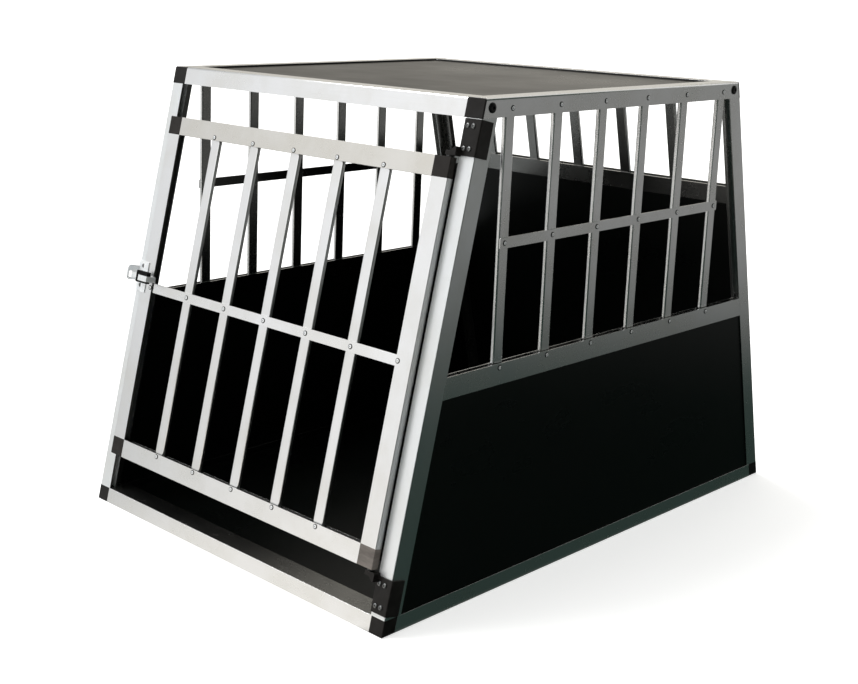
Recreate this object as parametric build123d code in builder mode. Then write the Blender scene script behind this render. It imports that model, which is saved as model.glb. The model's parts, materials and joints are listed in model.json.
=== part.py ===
"""Kennel cage for the boot of a car: an aluminium frame with sloping ends, black lower
panels, barred upper halves, and one barred door hung on two corner brackets.

Units are mm. X runs across the cage, Y from the door (-Y) to the back (+Y), Z up.
The origin is the middle of the footprint, on the ground.
"""

import os
from math import asin, cos, sin

from build123d import *

os.makedirs("parts", exist_ok=True)

# ---------------------------------------------------------------- driving dimensions
width = 650  # over the side rails and the posts
depth = 954  # front bottom edge to rear bottom edge
height = 697  # ground to the top of the roof rails
front_lean = 159.5  # the top front edge sits this far behind the bottom one
rear_lean = 174.8  # the top rear edge sits this far in front of the bottom one

wall = 1.8  # wall of the aluminium profiles
slot = 8.4  # width of the slots that hold panels, bars and strips
slot_depth = 10
reach = 9  # how far a panel or tongue goes into a slot
panel = 8
gap = 0.2  # clearance between nested parts
over = 1  # cutters run this far past the face they open

base_height = 22.5
base_width = 24  # side rails and corner blocks
base_cross = 36  # front and rear rails, from front to back
floor_slot = 3  # height of the slot for the floor panel
side_tongue = 22  # length of the corner block's tongue in a side rail
cross_tongue = 20  # its tongue in the front or rear rail
cross_tongue_depth = 20
post_tongue = 20  # its tongue in the post

top_rail_height = 26
top_width = 30  # side rails
top_cross = 31  # front and rear rails, from front to back
top_round = 3
top_slot = 15  # depth of the slot for the bars
cap = 3  # end caps of the side rails
cap_tongue = 8
ledge = 10  # lip under the roof panel
ledge_thickness = 2.5
roof_recess = 3
seal = 2
seal_recess = 0.5

post_width = 25.5
post_leg = 14
post_side_leg = 12
post_depth = 30
post_round = 1.5
joiner_rise = 9.5
joiner_length = 30
tongue_depth = 6.6  # plastic tongues stay this far behind the outer face

mid_height = 30
mid_thickness = 12
mid_slot = 12  # depth of the upper slot, for the bars
side_mid_bottom = 305
tilt_allowance = 3  # square ends on the sloping rear stop this much short
rear_mid_bottom = 512.5  # measured up the rear slope

bar_width = 19.5
bar_thickness = 6.5
bar_wall = 1.2
bar_round = 2
bar_seat = 2  # left free at the bottom of a bar's slot
side_bars = 6
side_pitch = 103.9
side_middle = -2
rear_bars = 5
door_bars_count = 5
door_pitch = 90.7

strip_height = 15
strip_thickness = 1.5
side_strip_level = 502
strip_round = 1

rivet_radius = 2
rivet_head = 3.8
rivet_rise = 1.1
rivet_long = 5.2  # through a rail and a bar wall
rivet_short = 3.2  # through the strip and a bar wall
rivet_play = 0.05
side_rivet_edge = 5.8
rear_rivet_edge = 5.8
door_rivet_edge = 4.3
top_rivet_level = 682.4

bolt_radius = 3  # frame bolts through the side rails into the cross rails
bolt_head = 7
bolt_rise = 2.2
bolt_length = 45
bolt_inset = 17
bolt_level = 684.5
port_radius = 5.2

# The door is laid out on the sloping front: "rise" is the distance up the slope.
door_width = 594
door_bottom = 84
door_top = 634.5
door_frame = 28
door_thickness = 12
door_gap = 0.5  # between the posts and the back of the door
door_round = 1
door_slot = 14
door_cap_proud = 0.3
door_tongue = 20  # length of a door cap's tongues
tongue_play = 1  # at the rounded edge
door_strip_rise = 360
door_strip_reach = 7

hinge_x = 290
pin_radius = 3
pin_running = 0.05
pin_reach = 14  # inside each door cap
bore_depth = 16
bracket_length = 49
bracket_plate = 2.5
bracket_side = 22
bracket_round = 2
bracket_gap = 2.5  # between the bracket arms and the door
upper_bracket = 638.5
lower_bracket = 29
arm_thickness = 6
arm_tip = 4.5  # beyond the pin's axis
arm_root = 2.9  # onto the front of the bracket
gusset = 6
washer_radius = 5.5
washer_play = 0.15

screw_radius = 1.7
screw_head = 3.4
screw_rise = 2
screw_length = 8.2
screw_insets = (9.5, 19)  # of the bracket screws, from the side of the cage
screw_end = 9.5  # from the ends of the bracket

latch_rise = 373
latch_height = 9
latch_thickness = 5
latch_off = 15  # back of the bolt, in front of the posts
latch_tip = 316  # left end of the bolt when it is drawn back
knob_left = 284
knob_right = 262
knob_front = 31.6
keeper_plate = 2
keeper_width = 25
keeper_length = 49
keeper_flange = 24
keeper_low = 24  # the bottom of the keeper and the guide, below the bolt's middle
keeper_round = 2
keeper_screws = (-15, 16.5)  # from the bolt's middle, up the slope
flange_low = 9
flange_high = 15
flange_round = 6
guide_inset = 0.5
guide_plate = 1.5
guide_wall = 3
guide_roof = 1.8
knob_gap = 2.2  # between the bolt and the overhanging part of its knob
knob_foot = 9.5
grip_depth = 8
grip_left = 5.5
grip_below = 2.8
grip_above = 6.6
grip_round = 1

# ---------------------------------------------------------------- derived dimensions
half_width = width / 2
half_depth = depth / 2
top_bottom = height - top_rail_height
roof_level = height - roof_recess
slot_back = wall + slot
tongue_near = wall + gap  # panels and tongues lie this far inside the outer face
tongue_far = tongue_near + panel
bar_outer = tongue_near + strip_thickness
web = slot_back + wall  # outer wall, slot and inner wall together
base_chamber = base_height - slot_depth - wall  # top of the base rails' lower chamber
door_front = door_gap + door_thickness
half_door = door_width / 2
door_inner = half_door - door_frame
door_centre = door_gap + door_thickness / 2
post_chamber = post_depth - slot_depth - wall  # depth of the post's closed chamber

front_face = Plane(
    origin=(0, -half_depth, 0), x_dir=(1, 0, 0), z_dir=(0, -height, front_lean)
)
rear_face = Plane(
    origin=(0, half_depth, 0), x_dir=(-1, 0, 0), z_dir=(0, height, rear_lean)
)
ends = {"front": front_face, "rear": rear_face}
sides = {"left": -1, "right": 1}


# ---------------------------------------------------------------- planes
def across(face, rise):
    """Plane square to a sloping end, cutting it at a rise: local y points into the cage."""
    origin = face.from_local_coords((0, rise, 0))
    return Plane(origin=origin, x_dir=face.x_dir, z_dir=face.y_dir)


def along(face, x):
    """Plane across a sloping end's rails: local x is the depth behind it, y the rise."""
    origin = face.from_local_coords((x, 0, 0))
    return Plane(origin=origin, x_dir=-face.z_dir, z_dir=face.x_dir)


def on_face(face, x, rise, off=0):
    """Plane on a sloping end, facing outwards, at x, a rise and a distance in front."""
    origin = face.from_local_coords((x, rise, off))
    return Plane(origin=origin, x_dir=face.x_dir, z_dir=face.z_dir)


def on_side(side, inset, y, z):
    """Plane facing outwards at a distance inside the left (-1) or right (1) side."""
    return Plane(origin=(side * (half_width - inset), y, z), z_dir=(side, 0, 0))


def behind(face, distance, z):
    """Y of the line at height z that lies a distance behind a sloping end."""
    normal = face.z_dir
    return face.origin.Y - (distance + normal.Z * z) / normal.Y


def inward(face):
    """The Y direction that points into the cage."""
    return 1 if face is front_face else -1


def set_back(face, z, distance):
    """Y of the point at height z that lies a level distance inside a sloping end."""
    return behind(face, 0, z) + inward(face) * distance


def rise_at(face, z):
    """Distance up a sloping end at height z."""
    return z / face.y_dir.Z


# ---------------------------------------------------------------- sketch and solid helpers
def span(side, inset_a, inset_b):
    """The two X values, in order, at two insets from the left or right side."""
    return sorted((side * (half_width - inset_a), side * (half_width - inset_b)))


def rect(x_a, x_b, y_a, y_b, mode=Mode.ADD):
    """Rectangle between two opposite corners, in the sketch being built."""
    with Locations(((x_a + x_b) / 2, (y_a + y_b) / 2)):
        Rectangle(abs(x_b - x_a), abs(y_b - y_a), mode=mode)


def outline(points, mode=Mode.ADD):
    """Closed polygon in the sketch being built."""
    with BuildLine() as path:
        Polyline(*points, close=True)
    make_face(path.edges(), mode=mode)


def sloped(face, near, far, low, high):
    """YZ outline between two depths behind a sloping end and two heights."""
    return [
        (behind(face, near, low), low),
        (behind(face, near, high), high),
        (behind(face, far, high), high),
        (behind(face, far, low), low),
    ]


def prism(x_low, x_high, points, mode=Mode.ADD):
    """YZ outline extruded along X, in the part being built."""
    with BuildSketch(Plane.YZ.offset(x_low)) as profile:
        outline(points)
    extrude(profile.sketch, amount=x_high - x_low, mode=mode)


def drill(planes, radius, length):
    """Holes going in from each plane, in the part being built."""
    with Locations(*planes):
        Hole(radius, length)


def save(node, name):
    """Label a finished node and write it."""
    node.part.label = name
    export_step(node.part, f"parts/{name}.step")


def domed_pin(shank_radius, length, head_radius, rise):
    """Rivet, screw or bolt on z = 0: a head with a spherical dome above, shank below."""
    rim = rise / 4
    dome = rise - rim
    sphere = (head_radius**2 + dome**2) / (2 * dome)
    half_angle = asin(head_radius / sphere) / 2
    middle = (sphere * sin(half_angle), rise - sphere + sphere * cos(half_angle))
    with BuildPart() as fastener:
        with BuildSketch(Plane.XZ):
            with BuildLine():
                Polyline(
                    (0, rise), (0, -length), (shank_radius, -length), (shank_radius, 0),
                    (head_radius, 0), (head_radius, rim),
                )
                ThreePointArc((head_radius, rim), middle, (0, rise))
            make_face()
        revolve(axis=Axis.Z)
    return fastener.part


def scatter(groups):
    """One part that repeats each solid at its own planes."""
    with BuildPart() as result:
        for solid, planes in groups:
            with Locations(*planes):
                add(solid)
    return result


# ---------------------------------------------------------------- the opening of the roof
roof_x = half_width - top_width
roof_y = [set_back(face, height, top_cross) for face in ends.values()]

# ---------------------------------------------------------------- where the bars and rivets are
side_bar_places = [
    side_middle + (i - (side_bars - 1) / 2) * side_pitch for i in range(side_bars)
]
rear_pitch = (width - 2 * post_width) / (rear_bars + 1)
rear_bar_places = [(i - (rear_bars - 1) / 2) * rear_pitch for i in range(rear_bars)]
door_bar_places = [
    (i - (door_bars_count - 1) / 2) * door_pitch for i in range(door_bars_count)
]
side_mid_top = side_mid_bottom + mid_height
rear_mid_top = rear_mid_bottom + mid_height
mid_rivet_level = side_mid_top - side_rivet_edge
rear_mid_rivet = rear_mid_top - rear_rivet_edge
rear_top_rivet = rise_at(rear_face, top_rivet_level)
door_rivet_low = door_bottom + door_frame - door_rivet_edge
door_rivet_high = door_top - door_frame + door_rivet_edge

side_rivet_planes = {
    side: [
        on_side(side, 0, y, z)
        for y in side_bar_places
        for z in (mid_rivet_level, top_rivet_level)
    ]
    for side in sides.values()
}
strip_rivet_planes = {
    side: [on_side(side, tongue_near, y, side_strip_level) for y in side_bar_places]
    for side in sides.values()
}
rear_rivet_planes = [
    on_face(rear_face, x, rise)
    for x in rear_bar_places
    for rise in (rear_mid_rivet, rear_top_rivet)
]
door_rivet_planes = [
    on_face(front_face, x, rise, door_front)
    for x in door_bar_places
    for rise in (door_rivet_low, door_rivet_high)
]
door_strip_planes = [
    on_face(front_face, x, door_strip_rise, door_front - tongue_near)
    for x in door_bar_places
]
door_strip_end_planes = [
    on_face(front_face, side * (door_inner + door_strip_reach / 2), door_strip_rise, door_front)
    for side in sides.values()
]
bracket_screw_places = [
    (half_width - inset, start + along_bracket)
    for start in (lower_bracket, upper_bracket)
    for inset in screw_insets
    for along_bracket in (screw_end, bracket_length - screw_end)
]
hinge_screw_planes = [
    on_face(front_face, x, rise, bracket_plate) for x, rise in bracket_screw_places
]
keeper_screw_planes = [
    on_face(front_face, -half_width + keeper_width / 2, latch_rise + offset, keeper_plate)
    for offset in keeper_screws
]
bolt_planes = [
    Plane(
        origin=(side * half_width, set_back(face, bolt_level, bolt_inset), bolt_level),
        z_dir=(side, 0, 0),
    )
    for face in ends.values()
    for side in sides.values()
]


# ---------------------------------------------------------------- base frame
def make_base_corner(face, side):
    """Moulded corner block with tongues into the side rail, the cross rail and the post."""
    with BuildPart() as corner:
        prism(*span(side, 0, base_width), sloped(face, 0, base_width, 0, base_height))
        side_end = base_width + side_tongue
        lengthwise = sloped(face, base_width, side_end, tongue_near, base_chamber - gap)
        prism(*span(side, tongue_near, web), lengthwise)
        crosswise = sloped(
            face, tongue_near + gap, cross_tongue_depth, tongue_near, base_chamber - gap
        )
        prism(*span(side, base_width, base_width + cross_tongue), crosswise)
        upright = sloped(face, tongue_depth, post_chamber - gap, base_height, base_height + post_tongue)
        prism(*span(side, tongue_near, tongue_far), upright)
    return corner


def make_base_side_rail(side):
    """Side rail with slots for the side panel (above) and the floor panel (inside)."""
    with BuildPart() as rail:
        with BuildSketch(Plane.XZ):
            rect(*span(side, 0, base_width), 0, base_height)
            rect(*span(side, wall, slot_back), base_height - slot_depth, base_height, Mode.SUBTRACT)
            rect(
                *span(side, base_width - slot_depth, base_width),
                floor_slot, floor_slot + slot, Mode.SUBTRACT,
            )
            rect(*span(side, wall, web + gap), wall, base_chamber, Mode.SUBTRACT)
            rect(
                *span(side, web, base_width - wall),
                floor_slot + slot_back, base_height - wall, Mode.SUBTRACT,
            )
        extrude(amount=half_depth, both=True)
        for face in ends.values():
            split(bisect_by=face.offset(-base_width), keep=Keep.BOTTOM)
    return rail


def make_base_cross_rail(face, slotted):
    """Front or rear rail: the rear one also has a sloping slot for the rear panel."""
    back = set_back(face, base_height, base_cross)
    slot_end = back - inward(face) * slot_depth
    half_length = half_width - base_width
    upper_start = web if slotted else wall
    upper_low = floor_slot + slot_back + gap
    with BuildPart() as rail:
        with BuildSketch(Plane.YZ):
            outline(
                [
                    (behind(face, 0, 0), 0),
                    (behind(face, 0, base_height), base_height),
                    (back, base_height),
                    (back, 0),
                ]
            )
            rect(slot_end, back, floor_slot, floor_slot + slot, Mode.SUBTRACT)
            outline(
                [
                    (behind(face, wall, wall), wall),
                    (behind(face, wall, base_chamber), base_chamber),
                    (slot_end - inward(face) * wall, base_chamber),
                    (slot_end - inward(face) * wall, wall),
                ],
                Mode.SUBTRACT,
            )
            outline(
                [
                    (behind(face, upper_start, upper_low), upper_low),
                    (behind(face, upper_start, base_height - wall), base_height - wall),
                    (back - inward(face) * wall, base_height - wall),
                    (back - inward(face) * wall, upper_low),
                ],
                Mode.SUBTRACT,
            )
            if slotted:
                outline(
                    sloped(face, wall, slot_back, base_height - slot_depth, base_height + over),
                    Mode.SUBTRACT,
                )
        extrude(amount=half_length, both=True)
    return rail


# ---------------------------------------------------------------- posts
def make_post(face, side):
    """Corner post: an L profile with one slot towards the side and one towards the end."""
    x_side = side * face.x_dir.X

    def leg(inset_a, inset_b, low, high, mode=Mode.ADD):
        rect(x_side * (half_width - inset_a), x_side * (half_width - inset_b), low, high, mode)

    with BuildPart() as post:
        with BuildSketch(across(face, 0)) as profile:
            leg(0, post_width, 0, post_leg)
            leg(0, post_side_leg, 0, post_depth)
            corner = profile.vertices().sort_by_distance((x_side * half_width, 0, 0))[0]
            fillet(corner, post_round)
            leg(post_width - slot_depth, post_width, wall, slot_back, Mode.SUBTRACT)
            leg(wall, slot_back, post_depth - slot_depth, post_depth, Mode.SUBTRACT)
            leg(wall, slot_back, wall, post_chamber, Mode.SUBTRACT)
            leg(web, post_width - slot_depth - wall, wall, post_leg - wall, Mode.SUBTRACT)
        extrude(amount=rise_at(face, height))
        split(bisect_by=Plane.XY.offset(base_height), keep=Keep.TOP)
        split(bisect_by=Plane.XY.offset(top_bottom), keep=Keep.BOTTOM)
        if face is front_face and side > 0:
            drill(hinge_screw_planes, screw_radius + rivet_play, screw_length)
        if face is front_face and side < 0:
            drill(keeper_screw_planes, screw_radius + rivet_play, screw_length)
    return post


def make_post_joiners():
    """Plastic dowels from the posts up into the slots of the top side rails."""
    top = top_bottom + joiner_rise
    with BuildPart() as joiners:
        for face in ends.values():
            for side in sides.values():
                dowel = sloped(face, tongue_depth, post_chamber - gap, top - joiner_length, top)
                prism(*span(side, tongue_near, tongue_far), dowel)
    return joiners


# ---------------------------------------------------------------- top frame
def make_top_side_rail(side):
    """Side rail of the roof: slot for the bars below, lip for the roof panel inside."""
    with BuildPart() as rail:
        with BuildSketch(Plane.XZ) as profile:
            rect(*span(side, 0, top_width), top_bottom, height)
            upper = profile.vertices().sort_by_distance((side * half_width, height, 0))[0]
            fillet(upper, top_round)
            rect(*span(side, wall, slot_back), top_bottom, top_bottom + top_slot, Mode.SUBTRACT)
            rect(*span(side, web, top_width - wall), top_bottom + wall, height - wall, Mode.SUBTRACT)
            rect(
                *span(side, 2 * wall, slot_back),
                top_bottom + top_slot + wall, height - wall, Mode.SUBTRACT,
            )
        extrude(amount=half_depth, both=True)
        for face in ends.values():
            split(bisect_by=face.offset(-cap), keep=Keep.BOTTOM)
        ledge_top = roof_level - panel
        with BuildSketch(Plane.XY.offset(ledge_top - ledge_thickness)):
            rect(*span(side, top_width, top_width + ledge), *roof_y)
        extrude(amount=ledge_thickness)
        drill(side_rivet_planes[side], rivet_radius + rivet_play, rivet_long)
        drill([p for p in bolt_planes if p.z_dir.X == side], bolt_radius + rivet_play, bolt_length)
    return rail


def make_top_cross_rail(face):
    """Front or rear rail of the roof, with a screw port along it for the frame bolts."""
    back = set_back(face, height, top_cross)
    ledge_top = roof_level - panel
    port = set_back(face, bolt_level, bolt_inset)
    half_length = half_width - top_width
    chamber_low = top_bottom + top_slot + wall
    with BuildPart() as rail:
        with BuildSketch(Plane.YZ) as profile:
            outline(
                [
                    (behind(face, 0, top_bottom), top_bottom),
                    (behind(face, 0, height), height),
                    (back, height),
                    (back, top_bottom),
                ]
            )
            upper = profile.vertices().sort_by_distance((behind(face, 0, height), height, 0))[0]
            fillet(upper, top_round)
            outline(
                [
                    (behind(face, web, top_bottom + wall), top_bottom + wall),
                    (behind(face, web, chamber_low), chamber_low),
                    (behind(face, 2 * wall, chamber_low), chamber_low),
                    (behind(face, 2 * wall, height - wall), height - wall),
                    (back - inward(face) * wall, height - wall),
                    (back - inward(face) * wall, top_bottom + wall),
                ],
                Mode.SUBTRACT,
            )
            rect(port - wall / 2, port + wall / 2, top_bottom + wall, height - wall)
            with Locations((port, bolt_level)):
                Circle(port_radius)
            bar_slot = sloped(face, wall, slot_back, top_bottom - over, top_bottom + top_slot)
            outline(bar_slot, Mode.SUBTRACT)
            with Locations((port, bolt_level)):
                Circle(bolt_radius + rivet_play, mode=Mode.SUBTRACT)
        extrude(amount=half_length, both=True)
        with BuildSketch(Plane.XY.offset(ledge_top - ledge_thickness)):
            rect(-half_length + ledge, half_length - ledge, back, back + inward(face) * ledge)
        extrude(amount=ledge_thickness)
        if face is rear_face:
            drill(rear_rivet_planes, rivet_radius + rivet_play, rivet_long)
    return rail


def make_top_cap(face, side):
    """End cap of a side rail: a plate the shape of the rail, with a tongue inside it."""
    with BuildPart() as end_cap:
        with BuildSketch(Plane.XZ) as profile:
            rect(*span(side, 0, top_width), top_bottom, height)
            upper = profile.vertices().sort_by_distance((side * half_width, height, 0))[0]
            fillet(upper, top_round)
        extrude(amount=half_depth, both=True)
        split(bisect_by=face, keep=Keep.BOTTOM)
        split(bisect_by=face.offset(-cap), keep=Keep.TOP)
        low = top_bottom + wall + gap
        high = height - wall - gap
        tongue = sloped(face, cap, cap + cap_tongue, low, high)
        prism(*span(side, web + gap, top_width - wall - gap), tongue)
    return end_cap


# ---------------------------------------------------------------- middle rails
def make_side_mid_rail(side):
    """Rail between the bars and the lower panel, tongued into both posts."""
    middle = (side_mid_bottom + slot_depth, side_mid_top - mid_slot)
    with BuildPart() as rail:
        with BuildSketch(Plane.XZ):
            rect(*span(side, 0, mid_thickness), side_mid_bottom, side_mid_top)
            rect(*span(side, wall, slot_back), side_mid_bottom, middle[0], Mode.SUBTRACT)
            rect(*span(side, wall, slot_back), middle[1], side_mid_top, Mode.SUBTRACT)
        extrude(amount=half_depth, both=True)
        for face in ends.values():
            split(bisect_by=face.offset(-post_depth), keep=Keep.BOTTOM)
        for face in ends.values():
            tongue = sloped(face, post_depth - reach, post_depth + over, *middle)
            prism(*span(side, tongue_near, tongue_far), tongue)
        drill(side_rivet_planes[side], rivet_radius + rivet_play, rivet_long)
    return rail


def make_rear_mid_rail():
    """The same rail across the back, laid out on the sloping rear."""
    half_length = half_width - post_width
    middle = (rear_mid_bottom + slot_depth, rear_mid_top - mid_slot)
    with BuildPart() as rail:
        with BuildSketch(along(rear_face, 0)):
            rect(0, mid_thickness, rear_mid_bottom, rear_mid_top)
            rect(wall, slot_back, rear_mid_bottom, middle[0], Mode.SUBTRACT)
            rect(wall, slot_back, middle[1], rear_mid_top, Mode.SUBTRACT)
        extrude(amount=half_length, both=True)
        with BuildSketch(along(rear_face, 0)):
            rect(tongue_near, tongue_far, *middle)
        extrude(amount=half_length + reach, both=True)
        drill(rear_rivet_planes, rivet_radius + rivet_play, rivet_long)
    return rail


# ---------------------------------------------------------------- bars and strips
with BuildSketch() as bar_profile:
    RectangleRounded(bar_width, bar_thickness, bar_round)
    Rectangle(bar_width - 2 * bar_wall, bar_thickness - 2 * bar_wall, mode=Mode.SUBTRACT)


def make_bars(plane, places, turn, length):
    """Hollow bars standing on a plane, their broad faces turned from X by an angle."""
    with BuildPart() as bars:
        with BuildSketch(plane):
            with Locations(*[Location((x, y, 0), (0, 0, turn)) for x, y in places]):
                add(bar_profile.sketch)
        extrude(amount=length)
    return bars


def make_side_bars(side):
    """Upright bars of one side, seated in the mid rail and the top rail."""
    low = side_mid_top - mid_slot + bar_seat
    high = top_bottom + top_slot - bar_seat
    x = side * (half_width - bar_outer - bar_thickness / 2)
    bars = make_bars(Plane.XY.offset(low), [(x, y) for y in side_bar_places], side * 90, high - low)
    with bars:
        rivets = side_rivet_planes[side] + strip_rivet_planes[side]
        drill(rivets, rivet_radius + rivet_play, rivet_long)
    return bars


def make_rear_bars():
    """Bars of the sloping rear."""
    low = rear_mid_top - mid_slot + bar_seat
    high = rise_at(rear_face, top_bottom) + top_slot - tilt_allowance
    y = bar_outer + bar_thickness / 2
    bars = make_bars(across(rear_face, low), [(x, y) for x in rear_bar_places], 0, high - low)
    with bars:
        drill(rear_rivet_planes, rivet_radius + rivet_play, rivet_long)
    return bars


def make_side_strip(side):
    """Flat strip riveted across the bars of one side, flush with the end bars."""
    first = side_bar_places[0] - bar_width / 2
    last = side_bar_places[-1] + bar_width / 2
    with BuildPart() as strip:
        with BuildSketch(Plane.YZ.offset(span(side, tongue_near, bar_outer)[0])):
            with Locations(((first + last) / 2, side_strip_level)):
                RectangleRounded(last - first, strip_height, strip_round)
        extrude(amount=strip_thickness)
        drill(strip_rivet_planes[side], rivet_radius + rivet_play, strip_thickness)
    return strip


# ---------------------------------------------------------------- panels
def make_side_panel(side):
    """Lower side panel, stepped at the bottom to clear the corner blocks."""
    low = base_height - reach
    step = base_height + gap
    high = side_mid_bottom + reach
    near = base_width + gap
    edge = post_depth - reach
    front_points = [(near, low), (near, step), (edge, step), (edge, high)]
    points = [(behind(front_face, d, z), z) for d, z in front_points]
    points += [(behind(rear_face, d, z), z) for d, z in reversed(front_points)]
    with BuildPart() as side_panel:
        prism(*span(side, tongue_near, tongue_far), points)
    return side_panel


def make_rear_panel():
    """Lower rear panel, laid out on the sloping rear and stepped in the same way."""
    low = rise_at(rear_face, base_height - reach) + tilt_allowance
    step = rise_at(rear_face, base_height) + tilt_allowance
    high = rear_mid_bottom + reach
    edge = half_width - post_width + reach
    lower_edge = half_width - base_width - gap
    with BuildPart() as rear_panel:
        with BuildSketch(rear_face.offset(-tongue_far)):
            rect(-edge, edge, step, high)
            rect(-lower_edge, lower_edge, low, step)
        extrude(amount=panel)
    return rear_panel


def make_floor_panel():
    """Floor panel, held in the slots of the four base rails."""
    x = half_width - base_width + reach
    y = [set_back(face, base_height, base_cross - reach) for face in ends.values()]
    with BuildPart() as floor_panel:
        with BuildSketch(Plane.XY.offset(floor_slot + gap)):
            rect(-x, x, *y)
        extrude(amount=panel)
    return floor_panel


def make_roof_panel():
    """Roof panel, resting on the lips of the top rails inside its seal."""
    inset = seal + gap
    with BuildPart() as roof_panel:
        with BuildSketch(Plane.XY.offset(roof_level - panel)):
            rect(-roof_x + inset, roof_x - inset, roof_y[0] + inset, roof_y[1] - inset)
        extrude(amount=panel)
    return roof_panel


def make_roof_seal():
    """Rubber frame between the roof panel and the rails."""
    outer = gap / 2
    inner = seal + gap / 2
    low = roof_level - panel
    with BuildPart() as roof_seal:
        with BuildSketch(Plane.XY.offset(low)):
            rect(-roof_x + outer, roof_x - outer, roof_y[0] + outer, roof_y[1] - outer)
            rect(
                -roof_x + inner, roof_x - inner,
                roof_y[0] + inner, roof_y[1] - inner, Mode.SUBTRACT,
            )
        extrude(amount=height - seal_recess - low)
    return roof_seal


# ---------------------------------------------------------------- door
def make_door_stile(side):
    """Upright of the door frame: rounded outer edge, slot towards the bars."""
    low = door_bottom + door_frame
    high = door_top - door_frame
    with BuildPart() as stile:
        with BuildSketch(across(front_face, low)) as profile:
            rect(side * door_inner, side * half_door, -door_front, -door_gap)
            outer = profile.vertices().group_by(Axis.X)[-1 if side > 0 else 0]
            fillet(outer, door_round)
            x_slot = side * (door_inner + slot_depth)
            rect(side * door_inner, x_slot, -door_front + wall, -door_gap - wall, Mode.SUBTRACT)
            rect(
                x_slot + side * wall, side * (half_door - wall),
                -door_front + wall, -door_gap - wall, Mode.SUBTRACT,
            )
        extrude(amount=high - low)
        drill(door_strip_end_planes, rivet_radius + rivet_play, rivet_long)
    return stile


def make_door_rail(edge, inner):
    """Top or bottom rail of the door: edge is its outer rise, inner the slotted one."""
    up = 1 if inner > edge else -1
    slot_end = inner - up * door_slot
    with BuildPart() as rail:
        with BuildSketch(along(front_face, 0)):
            rect(-door_front, -door_gap, edge, inner)
            rect(-door_front + wall, -door_gap - wall, slot_end, inner, Mode.SUBTRACT)
            rect(
                -door_front + wall, -door_gap - wall,
                edge + up * wall, slot_end - up * wall, Mode.SUBTRACT,
            )
        extrude(amount=door_inner, both=True)
        drill(door_rivet_planes, rivet_radius + rivet_play, rivet_long)
    return rail


def make_door_cap(side, edge, inner):
    """Moulded corner of the door with tongues into the stile and the rail."""
    up = 1 if inner > edge else -1
    front = door_front + door_cap_proud
    slot_end = inner - up * door_slot
    with BuildPart() as corner:
        with BuildSketch(across(front_face, min(edge, inner))) as profile:
            rect(side * door_inner, side * half_door, -front, -door_gap)
            outer = profile.vertices().group_by(Axis.X)[-1 if side > 0 else 0]
            fillet(outer, door_round)
        extrude(amount=door_frame)
        inside = (-door_front + wall + gap, -door_gap - wall - gap)
        with BuildSketch(along(front_face, side * door_inner)):
            rect(*inside, edge + up * (wall + gap), slot_end - up * (wall + gap))
        extrude(amount=-side * door_tongue)
        with BuildSketch(across(front_face, inner)):
            x_low = door_inner + slot_depth + wall + gap
            rect(side * x_low, side * (half_door - wall - gap - tongue_play), *inside)
        extrude(amount=up * door_tongue)
        if side > 0:
            bore = Plane(
                origin=front_face.from_local_coords((hinge_x, edge, door_centre)),
                z_dir=front_face.y_dir * -up,
            )
            drill([bore], pin_radius + pin_running, bore_depth)
    return corner


def make_door_bars():
    """Bars of the door, seated in its two rails."""
    low = door_bottom + door_frame - door_slot + bar_seat
    high = door_top - door_frame + door_slot - bar_seat
    y = -door_front + bar_outer + bar_thickness / 2
    bars = make_bars(across(front_face, low), [(x, y) for x in door_bar_places], 0, high - low)
    with bars:
        drill(door_rivet_planes + door_strip_planes, rivet_radius + rivet_play, rivet_long)
    return bars


def make_door_strip():
    """Flat strip across the door bars, its ends held in the slots of the stiles."""
    back = door_front - bar_outer
    with BuildPart() as strip:
        with BuildSketch(front_face.offset(back)):
            with Locations((0, door_strip_rise)):
                Rectangle(2 * (door_inner + door_strip_reach), strip_height)
        extrude(amount=strip_thickness)
        drill(door_strip_planes + door_strip_end_planes, rivet_radius + rivet_play, rivet_long)
    return strip


# ---------------------------------------------------------------- hinges
def make_hinge_bracket(start, door_edge):
    """Angle plate around the right front post, with an arm that holds the hinge pin."""
    door_above = door_edge > start + bracket_length / 2
    up = 1 if door_above else -1
    arm_near = door_edge - up * bracket_gap
    arm_far = arm_near - up * arm_thickness
    outside = half_width + bracket_plate
    inside = half_width - post_width
    with BuildPart() as bracket:
        with BuildSketch(across(front_face, start)) as profile:
            rect(inside, outside, -bracket_plate, 0)
            rect(half_width, outside, -bracket_plate, bracket_side)
            corner = profile.vertices().sort_by_distance((outside, -bracket_plate, 0))[0]
            fillet(corner, bracket_round)
        extrude(amount=bracket_length)
        with BuildSketch(front_face.offset(door_gap)):
            outline(
                [
                    (hinge_x - arm_tip, arm_far),
                    (hinge_x - arm_tip, arm_near),
                    (inside + arm_root, arm_near),
                    (inside + arm_root, arm_far - up * gusset),
                    (inside, arm_far - up * gusset),
                    (inside - gusset, arm_far),
                ]
            )
        extrude(amount=door_thickness)
        drill(hinge_screw_planes, screw_radius + rivet_play, screw_length)
        bore = Plane(
            origin=front_face.from_local_coords((hinge_x, arm_far, door_centre)),
            z_dir=front_face.y_dir * -up,
        )
        drill([bore], pin_radius, arm_thickness)
    return bracket


def make_hinge_pins():
    """Two steel pins: fixed in the bracket arms, running in the door's right-hand caps."""
    reaches = [
        (door_bottom - bracket_gap - arm_thickness, door_bottom + pin_reach),
        (door_top - pin_reach, door_top + bracket_gap + arm_thickness),
    ]
    with BuildPart() as pins:
        for low, high in reaches:
            with BuildSketch(across(front_face, low)):
                with Locations((hinge_x, -door_centre)):
                    Circle(pin_radius)
            extrude(amount=high - low)
    return pins


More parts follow.
